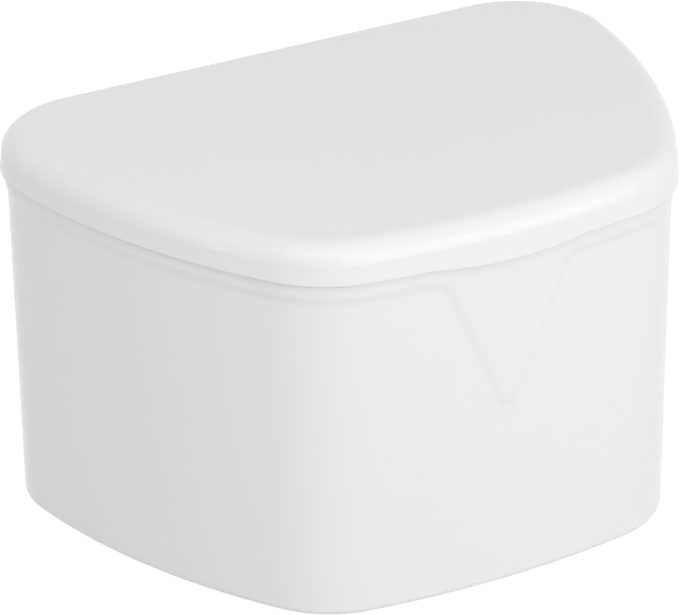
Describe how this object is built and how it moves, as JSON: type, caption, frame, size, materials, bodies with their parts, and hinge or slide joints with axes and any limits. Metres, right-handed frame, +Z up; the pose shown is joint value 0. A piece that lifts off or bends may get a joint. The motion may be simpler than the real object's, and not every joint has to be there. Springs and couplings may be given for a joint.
{
  "type": "denture case",
  "caption": "D-shaped white plastic denture case: deep tub with a raised V on its front, lift-off lid with a thumb lip, and a lift-out strainer basket.",
  "frame": {"origin": "middle of the closed case's footprint, on the plane that it rests on", "axes": "+X along the straight back, to the right seen from the front; +Y from the V on the front towards the straight back; +Z up"},
  "size_m": [0.095, 0.0675, 0.0553],
  "materials": {
    "tub_plastic": "satin gloss",
    "lid_plastic": "satin gloss",
    "basket_plastic": "satin"
  },
  "bodies": {
    "tub": {"tub": "tub_plastic"},
    "lid": {"lid": "lid_plastic"},
    "basket": {"strainer_basket": "basket_plastic"}
  },
  "joints": [
    {"name": "lid_lift", "type": "slide", "parent": "tub", "child": "lid", "axis": [0, 0, 1], "range_m": [0, 0.11]},
    {"name": "basket_lift", "type": "slide", "parent": "tub", "child": "basket", "axis": [0, 0, 1], "range_m": [0, 0.055]}
  ],
  "couplings": [
    {"joint": "basket_lift", "follows": "lid_lift", "ratio": 0.5}
  ]
}
